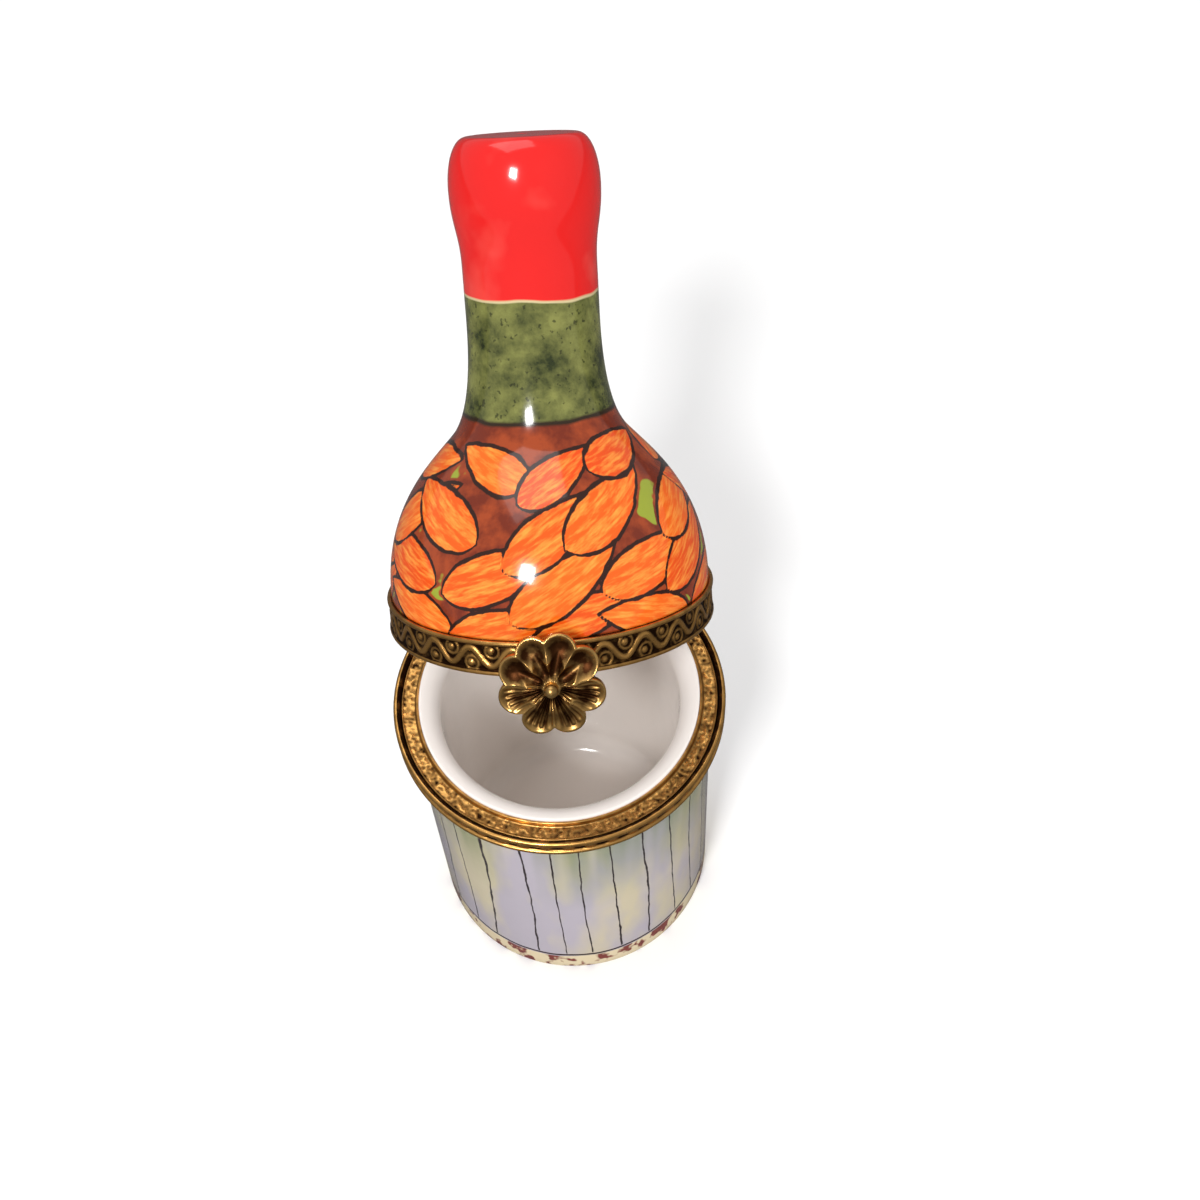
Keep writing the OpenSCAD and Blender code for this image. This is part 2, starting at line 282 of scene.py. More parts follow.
@dataclass(frozen=True)
class CupPaint(Porcelain):
    """Pale washes, thin dark wavering lines, a ring line and a dabbed band at the foot."""

    lines: float = 27.0             # round the cup
    line_foot: Span = (5.1, 5.3)    # height over which the lines come in
    ring_z: float = 4.8
    band_top: Span = (4.2, 4.4)     # height over which the dabbed band ends
    wash: Span = (20, 40)           # height over which the green wash comes in

    def build(self) -> bpy.types.Material:
        """Returns the material."""
        g = Graph("cup_paint")
        turn, up = g.wrap()
        colour = g.mix(self._lines(g, turn, up), self._washes(g, up), Paint.CUP_LINE.rgba)
        colour = self._foot(g, up, colour)
        return self.finish(g, colour, Paint.CUP_WHITE)

    def _washes(self, g: Graph, up: Value) -> Value:
        """Cream clouds on lavender, with a green wash that runs down from the rim."""
        cloud = g.step(g.noise(110, 3, (1, 1, 0.35)), 0.46, 0.64)
        ground = g.mix(cloud, Paint.LAVENDER.rgba, Paint.CREAM.rgba)
        runs = g.step(g.noise(120, 3, (1, 1, 0.12)), 0.38, 0.60)
        wash = g.math("MULTIPLY", runs, g.step(up, *self.wash))
        return g.mix(g.math("MULTIPLY", wash, 0.85), ground, Paint.GREEN_WASH.rgba)

    def _lines(self, g: Graph, turn: Value, up: Value) -> Value:
        """1 on the lines, whose place and width waver as a hand's do."""
        shake = g.math("MULTIPLY", g.noise(420, 2, (1, 1, 0.6)), 0.12)
        sway = g.math("ADD", g.swing(g.noise(62, 2, (1, 1, 0.14)), 2.2), shake)
        phase = g.math("ADD", g.math("MULTIPLY", turn, self.lines), sway)
        off = g.math("ABSOLUTE", g.math("SUBTRACT", g.math("FRACT", phase), 0.5))
        width = g.math("MULTIPLY_ADD", g.noise(300, 2), 0.05, -0.008)
        line = g.math("SUBTRACT", 1.0, g.step(g.math("SUBTRACT", off, width), 0.0, 0.02))
        return g.math("MULTIPLY", line, g.step(up, *self.line_foot))

    def _foot(self, g: Graph, up: Value, colour: Value) -> Value:
        """Adds maroon dabs on cream at the foot, and the ring line above them."""
        edge = g.math("ADD", up, g.swing(g.noise(140, 2), 0.8))
        dabs = g.step(g.noise(430, 2, (1, 1, 0.7)), 0.50, 0.56)
        foot = g.mix(dabs, Paint.FOOT_CREAM.rgba, Paint.FOOT_MAROON.rgba)
        colour = g.mix(g.step(edge, *self.band_top), foot, colour)
        off_ring = g.math("ABSOLUTE", g.math("SUBTRACT", edge, self.ring_z))
        return g.mix(g.step(off_ring, 0.22, 0.30), Paint.FOOT_RING.rgba, colour)


@dataclass(frozen=True)
class LidPaint(Porcelain):
    """Leaves on rust, a sponged green neck and a scarlet cap.

    Each span is the height above the band over which a colour takes over from the one below.
    """

    neck_line: Span = (20.3, 20.6)
    neck_green: Span = (20.8, 21.1)
    cap_edge: Span = (33.25, 33.4)
    cap_red: Span = (33.5, 33.7)

    def build(self) -> bpy.types.Material:
        """Returns the material."""
        g = Graph("lid_paint")
        _, up = g.wrap()
        level = g.math("ADD", up, g.swing(g.noise(90, 2), 2.2))
        colour = g.mix(g.step(level, *self.neck_line), self._leaves(g), Paint.NECK_LINE.rgba)
        colour = g.mix(g.step(level, *self.neck_green), colour, self._neck(g))
        colour = g.mix(g.step(level, *self.cap_edge), colour, Paint.CAP_EDGE.rgba)
        colour = g.mix(g.step(level, *self.cap_red), colour, self._cap(g))
        return self.finish(g, colour, Paint.LID_WHITE)

    def _leaves(self, g: Graph) -> Value:
        """Streaky orange leaves with dark outlines on rust, and small green sprigs."""
        streak = g.step(g.noise(420, 4, (1, 1, 0.25)), 0.40, 0.62)
        rust = g.mix(streak, Paint.RUST_DARK.rgba, Paint.RUST_LIGHT.rgba)
        tone = g.attribute("tone")
        across = g.math("MULTIPLY", g.attribute("across"), 2.6)
        along = g.math("MULTIPLY", g.attribute("along"), 0.42)
        grain = g.noise(1.0, 4, vector=g.vector(across, along, tone))
        warm = g.mix(tone, Paint.ORANGE_DEEP.rgba, Paint.ORANGE_WARM.rgba)
        orange = g.mix(g.step(grain, 0.44, 0.70), warm, Paint.ORANGE_PALE.rgba)
        leaf = g.math("ADD", g.attribute("leaf"), g.swing(g.noise(700, 2), 0.35))
        colour = g.mix(g.step(leaf, -0.05, 0.05), orange, rust)
        sprig = g.step(g.noise(210, 2), 0.60, 0.63)
        sprig = g.math("MULTIPLY", sprig, g.step(leaf, 0.35, 0.45))
        colour = g.mix(sprig, colour, Paint.SPRIG.rgba)
        off_line = g.step(g.math("ABSOLUTE", leaf), 0.13, 0.20)
        return g.mix(off_line, Paint.LEAF_LINE.rgba, colour)

    def _neck(self, g: Graph) -> Value:
        """Sponged green with fine dark specks."""
        sponge = g.step(g.noise(300, 5, rough=0.65), 0.34, 0.68)
        green = g.mix(sponge, Paint.NECK_DARK.rgba, Paint.NECK_PALE.rgba)
        specks = g.step(g.noise(1500, 2), 0.62, 0.68)
        return g.mix(g.math("MULTIPLY", specks, 0.7), green, Paint.NECK_SPECK.rgba)

    def _cap(self, g: Graph) -> Value:
        """Scarlet with faint paler patches."""
        patch = g.step(g.noise(120, 3), 0.52, 0.70)
        return g.mix(g.math("MULTIPLY", patch, 0.35), Paint.CAP_RED.rgba, Paint.CAP_PALE.rgba)


@dataclass(frozen=True)
class Brass:
    """Cast and stamped brass, dark in its hollows where it is antiqued."""

    name: str
    dark: Colour
    light: Colour
    roughness: float
    antiqued: bool

    def build(self) -> bpy.types.Material:
        """Returns the material. An antiqued one reads the mesh's "ridge", 1 on high relief."""
        g = Graph(self.name)
        mottle = g.step(g.noise(650, 4), 0.36, 0.66)
        if self.antiqued:
            polish = g.math("ADD", g.attribute("ridge"), g.swing(mottle, 0.45), clamp=True)
        else:
            polish = g.math("MULTIPLY_ADD", mottle, 0.6, 0.4)
        g.link(g.mix(polish, self.dark, self.light), g.shader.inputs["Base Color"])
        g.shader.inputs["Metallic"].default_value = 1.0
        rough = g.math("MULTIPLY_ADD", polish, -0.22, self.roughness + 0.2)
        g.link(rough, g.shader.inputs["Roughness"])
        g.bump(g.noise(1400, 3), 0.25, 0.0001)
        return g.material


def opened(points: np.ndarray) -> np.ndarray:
    """Turns points of the shut lid to where they are with the lid open.

    Args:
        points: Array of points in millimetres, with the lid shut.

    Returns:
        The points, turned about the hinge.
    """
    c, s = math.cos(LID_OPEN), math.sin(LID_OPEN)
    y, z = points[:, 1] - HINGE_Y, points[:, 2] - HINGE_Z
    return np.stack([points[:, 0], y * c + z * s + HINGE_Y, -y * s + z * c + HINGE_Z], 1)


def curve(
    a: Sequence[float], b: Sequence[float], c: Sequence[float], d: Sequence[float], n: int
) -> Profile:
    """Points on a cubic curve from a to d with the handles b and c, both ends included."""
    a, b, c, d = (np.array(p, float) for p in (a, b, c, d))
    line = []
    for t in np.linspace(0, 1, n + 1):
        u = 1 - t
        line.append(tuple(u ** 3 * a + 3 * u ** 2 * t * b + 3 * u * t * t * c + t ** 3 * d))
    return line


def arc(cx: float, cz: float, r: float, start: float, end: float, n: int) -> Profile:
    """Points on a circular arc, angles in degrees, both ends included."""
    angles = [math.radians(a) for a in np.linspace(start, end, n + 1)]
    return [(cx + r * math.cos(a), cz + r * math.sin(a)) for a in angles]


def resample(line: Profile, step: float) -> Profile:
    """Adds points so that no run of the line is longer than step."""
    out = [line[0]]
    for (x, z), (x_end, z_end) in zip(line, line[1:]):
        n = max(1, math.ceil(math.dist((x, z), (x_end, z_end)) / step))
        out += [(x + (x_end - x) * i / n, z + (z_end - z) * i / n) for i in range(1, n + 1)]
    return out


def rounded(off: np.ndarray, half_width: float, height: float) -> np.ndarray:
    """Height of a rounded ridge at a distance off its middle line."""
    return height * np.clip(1 - (off / half_width) ** 2, 0, 1) ** 0.5


def add_mesh(
    name: str, points: np.ndarray, faces: list[tuple[int, ...]], values: dict[str, np.ndarray]
) -> bpy.types.Object:
    """Adds a smooth mesh to the scene.

    Args:
        name: Name of the object and of its mesh.
        points: Array of points in millimetres.
        faces: Point numbers of each face, against the clock as seen from outside.
        values: Arrays of numbers to store on the points, by name.

    Returns:
        The object, at the origin.
    """
    mesh = bpy.data.meshes.new(name)
    mesh.from_pydata([tuple(p * MM) for p in points], [], faces)
    for key, value in values.items():
        attribute = mesh.attributes.new(key, "FLOAT", "POINT")
        attribute.data.foreach_set("value", value.astype(np.float32))
    mesh.shade_smooth()
    mesh.validate()
    obj = bpy.data.objects.new(name, mesh)
    bpy.context.scene.collection.objects.link(obj)
    return obj


@dataclass
class Lathe:
    """A profile turned about the axis, with a map of its own.

    The profile runs so that the outside lies on its right: up the outside, then down the inside.
    """

    name: str
    profile: Profile
    segments: int
    on_lid: bool = False
    up_from: float = 0.0
    closed: bool = False

    def __post_init__(self) -> None:
        """Lays out every point's row, turn, radius and height."""
        rows, cols = len(self.profile), self.segments
        self.row = np.repeat(np.arange(rows), cols)
        self.angle = np.tile(np.arange(cols) * FULL_TURN / cols, rows)
        self.r = np.repeat([p[0] for p in self.profile], cols).astype(float)
        self.z = np.repeat([p[1] for p in self.profile], cols).astype(float)

    def build(
        self,
        values: dict[str, np.ndarray],
        out: np.ndarray | float = 0.0,
        down: np.ndarray | float = 0.0,
    ) -> bpy.types.Object:
        """Turns the profile into a mesh.

        Args:
            values: Arrays of numbers to store on the points, by name.
            out: How far each point is moved away from the axis.
            down: How far each point is lowered.

        Returns:
            The object, at the origin.
        """
        r = self.r + out
        points = np.stack([r * np.sin(self.angle), -r * np.cos(self.angle), self.z - down], 1)
        rows, cols = len(self.profile), self.segments
        strips = rows if self.closed else rows - 1
        faces = []
        for i in range(strips):
            low, high = i * cols, (i + 1) % rows * cols
            for j in range(cols):
                k = (j + 1) % cols
                faces.append((low + j, low + k, high + k, high + j))
        obj = add_mesh(self.name, opened(points) if self.on_lid else points, faces, values)
        self._add_map(obj.data, strips)
        return obj

    def _add_map(self, mesh: bpy.types.Mesh, strips: int) -> None:
        """Adds the map: the share of a turn, and the height above up_from."""
        cols = self.segments
        corner = np.array([loop.vertex_index for loop in mesh.loops])
        face_col = np.tile(np.arange(cols), strips)
        u = (corner % cols).astype(float)
        wraps = (np.repeat(face_col, 4) == cols - 1) & (u == 0)
        u = np.where(wraps, cols, u) / cols
        v = self.z[corner] - self.up_from
        layer = mesh.uv_layers.new(name=WRAP)
        layer.data.foreach_set("uv", np.stack([u, v], 1).ravel().astype(np.float32))


def place(
    obj: bpy.types.Object, body: Body, material: bpy.types.Material, node: str
) -> None:
    """Gives a mesh its finish and its body, and lets it stand for its CAD node."""
    obj.data.materials.append(material)
    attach(obj, body.value)
    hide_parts(node)


@dataclass
class Cup:
    """The porcelain cup, with its rolled lip and bare white inside."""

    paint: CupPaint = field(default_factory=CupPaint)
    outer_r: float = 18.7
    foot_r: float = 19.0
    foot_round: float = 0.8
    step_z: float = 42.5      # where the outside steps in to the lip
    lip_r: float = 17.3
    lip_z: float = 43.85
    lip_roll: float = 2.4
    bore_r: float = 14.9
    floor_z: float = 4.0
    floor_round: float = 3.3
    bare_r: float = 17.9      # within it, and above bare_z, the porcelain isn't painted
    bare_z: float = 3.0
    run: float = 1.2          # longest run of the profile between two rows
    segments: int = 192

    def profile(self) -> Profile:
        """From the middle of the foot up the outside, over the lip and down to the floor."""
        foot, bowl = self.foot_round, self.floor_round
        line = [(AXIS_R, 0.0), *arc(self.foot_r - foot, foot, foot, -90, 0, 6)]
        line += [(self.outer_r, BASE_BAND_Z), (self.outer_r, self.step_z)]
        line += [(self.lip_r, self.step_z)]
        line += arc(self.lip_r, self.lip_z - self.lip_roll, self.lip_roll, 90, 180, 14)
        line += arc(self.bore_r - bowl, self.floor_z + bowl, bowl, 0, -90, 12)
        return line + [(AXIS_R, self.floor_z)]

    def build(self) -> None:
        """Builds the cup and lets it stand for the CAD solid."""
        lathe = Lathe("cup", resample(self.profile(), self.run), self.segments)
        bare = (lathe.r < self.bare_r) & (lathe.z > self.bare_z)
        obj = lathe.build({"bare": bare})
        place(obj, Body.BASE, self.paint.build(), "base_cup")


@dataclass(frozen=True)
class LeafRow:
    """A row of painted leaves round the shoulder."""

    level: float    # height above the band
    length: float   # of a leaf
    count: int


@dataclass
class Leaves:
    """Painted leaves, laid over one another in the order that they are drawn."""

    rows: tuple[LeafRow, ...] = (
        LeafRow(1.8, 13.0, 12),
        LeafRow(6.6, 14.0, 11),
        LeafRow(11.4, 13.0, 10),
        LeafRow(16.4, 10.0, 8),
    )
    lean: Span = (52, 80)     # degrees from upright
    fullness: float = 0.19    # half width as a share of the length
    least_r: float = 6.0      # radius used for distances nearer the axis than that
    far: float = 9.0          # distance to an outline before any leaf is drawn

    def values(self, lathe: Lathe) -> dict[str, np.ndarray]:
        """Draws every leaf onto the lid's points.

        Args:
            lathe: The lid's lathe, for the place of each of its points.

        Returns:
            "leaf": signed distance to the nearest outline that shows, negative inside;
            "along" and "across": place in the leaf; "tone": one random number a leaf.
        """
        up = lathe.z - SHELL_Z
        out = {"leaf": np.full(up.shape, self.far), "along": up, "across": up}
        out["tone"] = np.zeros(up.shape)
        rng = np.random.default_rng(SEED)
        for row in self.rows:
            for i in range(row.count):
                middle = FULL_TURN * (i + 0.3 * rng.uniform(-1, 1)) / row.count + row.level * 0.11
                side = 1 if (i + round(row.level)) % 3 else -1
                lean = math.radians(rng.uniform(*self.lean)) * side
                turn = (lathe.angle - middle + math.pi) % FULL_TURN - math.pi
                x = turn * np.maximum(lathe.r, self.least_r)
                y = up - row.level - rng.uniform(-1, 1)
                along = x * math.sin(lean) + y * math.cos(lean)
                across = x * math.cos(lean) - y * math.sin(lean)
                tone = np.full(up.shape, rng.uniform(0, 1))
                inside, away = self._outline(along, across, row.length)
                old = out["leaf"]
                outside = np.where(old < 0, np.maximum(old, -away), np.minimum(old, away))
                out["leaf"] = np.where(inside, -away, outside)
                for name, value in (("along", along), ("across", across), ("tone", tone)):
                    out[name] = np.where(inside, value, out[name])
        return out

    def _outline(
        self, along: np.ndarray, across: np.ndarray, length: float
    ) -> tuple[np.ndarray, np.ndarray]:
        """Which points lie in a pointed leaf, and how far each is from its outline."""
        share = np.clip(along / length + 0.5, 0, 1)
        half = self.fullness * length * np.sin(math.pi * share ** 0.75) ** 0.75
        over = np.maximum(np.abs(along) - length / 2, 0)
        inside = (np.abs(across) < half) & (over == 0)
        return inside, np.hypot(np.abs(across) - half, over) * 0.8


@dataclass
class Lid:
    """The shoulder, the neck and the dipped cap, with the hollow inside.

    Heights are above the top of the lid's band.
    """

    paint: LidPaint = field(default_factory=LidPaint)
    leaves: Leaves = field(default_factory=Leaves)
    outer_r: float = 18.42
    wall: float = 3.0
    foot_r: float = 18.29       # of the part that sits inside the band
    foot_z: float = -2.5
    clear_z: float = 0.05       # gap above the band
    turn: Span = (10.0, 17.8)   # radius and height where the shoulder turns into the neck
    turn_lean: float = 42.0     # degrees from upright
    neck: Span = (7.3, 31.0)    # radius and height where the neck is straight
    cap_foot: Span = (7.3, 36.5)
    cap_wide: Span = (8.1, 44.5)
    cap_top: Span = (5.8, 49.8)
    hollow_z: float = 41.0      # top of the hollow
    painted_z: float = 24.0     # below it the rows are fine enough for the leaves' outlines
    fine_run: float = 0.26      # longest runs of the profile between two rows
    plain_run: float = 1.0
    inside_run: float = 1.5
    segments: int = 340

    def shoulder(self, inset: float) -> Profile:
        """The side from the band up to the straight neck, moved in by inset."""
        s = math.radians(self.turn_lean)
        lean = np.array([-math.sin(s), math.cos(s)])
        inward = np.array([-math.cos(s), -math.sin(s)])
        foot = np.array([self.outer_r - inset, 0.0])
        turn = np.array(self.turn) + inset * inward
        neck = np.array([self.neck[0] - inset, self.neck[1]])
        low = curve(foot, foot + [0, 10], turn - 4.4 * lean, turn, 40)
        return low + curve(turn, turn + 3.5 * lean, neck - [0, 4.4], neck, 28)[1:]

    def outside(self) -> Profile:
        """From the foot in the band up to the middle of the cap."""
        cap = curve(self.cap_foot, (7.3, 40.1), (8.1, 40.9), self.cap_wide, 20)
        cap += curve(self.cap_wide, (8.1, 47.4), (7.2, 49.8), self.cap_top, 16)[1:]
        line = [(self.foot_r, self.foot_z), (self.foot_r, self.clear_z)]
        line += [(self.outer_r, self.clear_z)]
        line += [p for p in self.shoulder(0) if p[1] > 2 * self.clear_z]
        return line + cap + [(AXIS_R, self.cap_top[1])]

    def inside(self) -> Profile:
        """From the round end of the hollow in the neck down to the foot."""
        bore = self.neck[0] - self.wall
        line = [(AXIS_R, self.hollow_z), *arc(0, self.hollow_z - bore, bore, 90, 0, 8)[1:]]
        line += self.shoulder(self.wall)[::-1]
        return line + [(self.outer_r - self.wall, self.foot_z)]

    def build(self) -> None:
        """Builds the lid and lets it stand for the CAD solid."""
        outside = self.outside()
        fine = resample([p for p in outside if p[1] <= self.painted_z], self.fine_run)
        plain = resample([p for p in outside if p[1] > self.painted_z], self.plain_run)
        outer_rows = len(fine) + len(plain)
        line = fine + plain + resample(self.inside(), self.inside_run)
        line = [(r, z + SHELL_Z) for r, z in line]
        lathe = Lathe("lid", line, self.segments, on_lid=True, up_from=SHELL_Z, closed=True)
        obj = lathe.build({"bare": lathe.row >= outer_rows, **self.leaves.values(lathe)})
        place(obj, Body.LID, self.paint.build(), "lid_shell")


@dataclass
class Rims:
    """The brass rings and bands, with their relief."""

    antique: bpy.types.Material
    segments: int = 960
    sheet: float = 0.55         # thickness of the brass
    clear: float = 0.02         # between a bead and the face beside it
    waves: int = 24             # of the vine, round the lid's band
    wave_r: float = 19.0        # radius used for lengths round the vine
    stamps: int = 48            # round the base's band
    lid_h: float = 3.95
    lid_wall_r: float = 18.34
    lid_face_r: float = 18.62
    lid_bead_r: float = 18.67   # middle of a bead
    lid_bead: float = 0.28      # radius of a bead
    lid_face_rows: int = 24
    base_in_r: float = 18.75
    base_wall_r: float = 19.55
    base_face_r: float = 20.05
    base_bead_r: float = 20.12
    base_bead: float = 0.38
    base_edge_r: float = 20.22  # middle of the small bead at the lower edge
    base_edge: float = 0.28
    base_face_rows: int = 14
    seat_z: float = 43.1
    seat_in_r: float = 17.35
    seat_out_r: float = 19.5
    seat_flat: Span = (19.4, 17.78)
    seat_flat_rows: int = 14
    seat_edge: float = 0.185    # radius of the raised inner edge
    seat_edge_h: float = 0.315
    pit_depth: float = 0.16

    def vine(self, angle: np.ndarray, up: np.ndarray) -> np.ndarray:
        """Height of the vine's relief: a wave, with a curl and a dot in each of its hollows.

        Args:
            angle: Turn round the axis.
            up: Height above the band's lower edge.

        Returns:
            Height of the relief.
        """
        middle, swing = self.lid_h / 2, 0.25 * self.lid_h
        phase = angle * self.waves
        pitch = FULL_TURN * self.wave_r / self.waves
        climb = swing * self.waves * np.cos(phase) / self.wave_r
        square = 1 / np.sqrt(1 + climb ** 2)
        out = rounded((up - (middle + swing * np.sin(phase))) * square, 0.36, 0.20)
        for hollow, side in ((math.pi / 2, -1), (3 * math.pi / 2, 1)):
            turn = (phase - hollow + math.pi) % FULL_TURN - math.pi
            x = turn / FULL_TURN * pitch
            y = up - (middle + side * swing * 0.75)
            out = np.maximum(out, rounded(np.hypot(x, y), 0.42, 0.20))
            out = np.maximum(out, rounded(np.hypot(x - 0.15, y) - 0.78, 0.16, 0.13))
        return out

    def stamped(self, angle: np.ndarray, up: np.ndarray) -> np.ndarray:
        """Height of the base band's relief: rounded blotches in staggered rows."""
        wave = np.sin(angle * self.stamps) * np.sin((up - 0.4) * 3.4)
        return 0.16 * np.clip(wave + 0.35, 0, 1)

    def lid_band(self) -> bpy.types.Object:
        """The band round the lid: vine between two beads."""
        h, bead, bead_r, wall_r = self.lid_h, self.lid_bead, self.lid_bead_r, self.lid_wall_r
        low, high = LID_Z + 2 * bead + self.clear, LID_Z + h - 2 * bead - self.clear
        line = [(wall_r, LID_Z), (bead_r, LID_Z)]
        line += arc(bead_r, LID_Z + bead, bead, -90, 75, 8)[1:]
        face = range(len(line), len(line) + self.lid_face_rows)
        line += [(self.lid_face_r, z) for z in np.linspace(low, high, len(face))]
        line += arc(bead_r, LID_Z + h - bead, bead, -75, 90, 8)
        line += [(wall_r, LID_Z + h)]
        lathe = Lathe("lid_band", line, self.segments, on_lid=True, closed=True)
        return self._band(lathe, h, bead, face, self.vine)

    def base_band(self) -> bpy.types.Object:
        """The band round the base, with its bead on top."""
        z, top, bead, edge = BASE_BAND_Z, BASE_H, self.base_bead, self.base_edge
        low, high = z + 2 * edge + self.clear, top - 2 * bead - self.clear
        line = [(self.base_in_r, z), (self.base_edge_r, z)]
        line += arc(self.base_edge_r, z + edge, edge, -80, 75, 6)
        face = range(len(line), len(line) + self.base_face_rows)
        line += [(self.base_face_r, z) for z in np.linspace(low, high, len(face))]
        line += arc(self.base_bead_r, top - bead, bead, -75, 180, 14)
        line += [(self.base_wall_r, top - 2 * bead), (self.base_wall_r, z + self.sheet)]
        line += [(self.base_in_r, z + self.sheet)]
        lathe = Lathe("base_band", line, self.segments, closed=True)
        return self._band(lathe, top - z, bead, face, self.stamped)

    def _band(
        self,
        lathe: Lathe,
        height: float,
        bead: float,
        face: range,
        relief: Callable[[np.ndarray, np.ndarray], np.ndarray],
    ) -> bpy.types.Object:
        """Builds a band with relief on its face, and marks its smooth beads as ridges.

        Args:
            lathe: The plain band; its profile starts at the lower edge.
            height: Height of the band.
            bead: Radius of its beads.
            face: Rows of the face. The uppermost stays plain.
            relief: Height of the relief, from turn and height above the lower edge.

        Returns:
            The object.
        """
        up = lathe.z - lathe.profile[0][1]
        on_face = (lathe.row >= face[0]) & (lathe.row < face[-1])
        out = np.where(on_face, relief(lathe.angle, up), 0.0)
        face_r = np.median([p[0] for p in lathe.profile])
        near_edge = (up < 1.7 * bead) | (up > height - 1.8 * bead)
        beads = near_edge & (lathe.r > face_r + 0.02)
        return lathe.build({"ridge": np.where(beads, 0.85, out / out.max())}, out=out)

    def seat(self) -> bpy.types.Object:
        """The pitted ring between the lip and the bead, with its smooth raised inner edge."""
        z, in_r, out_r, edge = self.seat_z, self.seat_in_r, self.seat_out_r, self.seat_edge
        line = [(in_r, z - self.sheet), (out_r, z - self.sheet), (out_r, z)]
        flat = range(len(line), len(line) + self.seat_flat_rows)
        line += [(r, z) for r in np.linspace(*self.seat_flat, len(flat))]
        line += arc(in_r + edge, z + self.seat_edge_h, edge, 0, 180, 8) + [(in_r, z)]
        lathe = Lathe("seat_ring", line, self.segments, closed=True)
        pits = self._pits(len(line))
        pitted = (lathe.row > flat[0]) & (lathe.row < flat[-1])
        ridge = np.where(pitted, np.clip(pits * 2.2 - 0.5, 0, 1), 0.7)
        down = np.where(pitted, self.pit_depth * (1 - pits), 0.0)
        return lathe.build({"ridge": ridge}, down=down)

    def _pits(self, rows: int) -> np.ndarray:
        """Random heights from 0 to 1 on the seat's points, smoothed over their neighbours."""
        pits = np.random.default_rng(SEED).uniform(0, 1, (rows, self.segments))
        for _ in range(2):
            beside = [np.roll(pits, shift, axis) for axis in (1, 0) for shift in (1, -1)]
            pits = sum(beside, pits) / 5
        return ((pits - pits.min()) / (pits.max() - pits.min())).ravel()

    def build(self) -> None:
        """Builds the rims and lets them stand for the CAD solids."""
        place(self.lid_band(), Body.LID, self.antique, "lid_gallery_band")
        place(self.base_band(), Body.BASE, self.antique, "base_gallery_band")
        place(self.seat(), Body.BASE, self.antique, "base_seat_ring")


